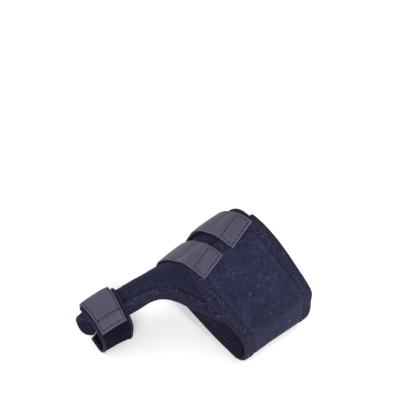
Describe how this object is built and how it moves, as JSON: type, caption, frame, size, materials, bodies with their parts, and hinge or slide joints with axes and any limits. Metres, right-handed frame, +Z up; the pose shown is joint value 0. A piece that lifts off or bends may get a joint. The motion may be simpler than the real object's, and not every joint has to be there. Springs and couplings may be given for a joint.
{
  "type": "bunion corrector",
  "caption": "Soft left-foot splint: a midfoot wrap with an arm along the inner side, straps that close it over the instep, and a strapped loop that holds the big toe straight.",
  "frame": {"origin": "middle of the footprint, on the plane that the sole of the wrap stands on", "axes": "+Z is up, away from the sole. -Y points to the toes and +Y to the heel. +X is the outer side of a left foot and -X its inner side, where the arm and the big toe are."},
  "size_m": [0.0968, 0.1444, 0.0825],
  "materials": {
    "loop_cloth": "brushed loop-pile cloth over thin foam, dark navy, with a fine fuzz",
    "tape": "woven elastic binding tape, dark grey violet, with rows of stitches",
    "strap": "smooth coated strap cloth, grey violet, soft sheen",
    "loop_knit": "thin stretch knit, near-black navy, matt"
  },
  "bodies": {
    "root": {"wrap_panel": "loop_cloth", "front_binding": "tape", "rear_binding": "tape", "end_binding": "tape", "front_strap": "strap", "rear_strap": "strap", "toe_loop": "loop_knit", "toe_loop_front_binding": "tape", "toe_loop_rear_binding": "tape", "toe_strap": "strap"}
  },
  "joints": []
}
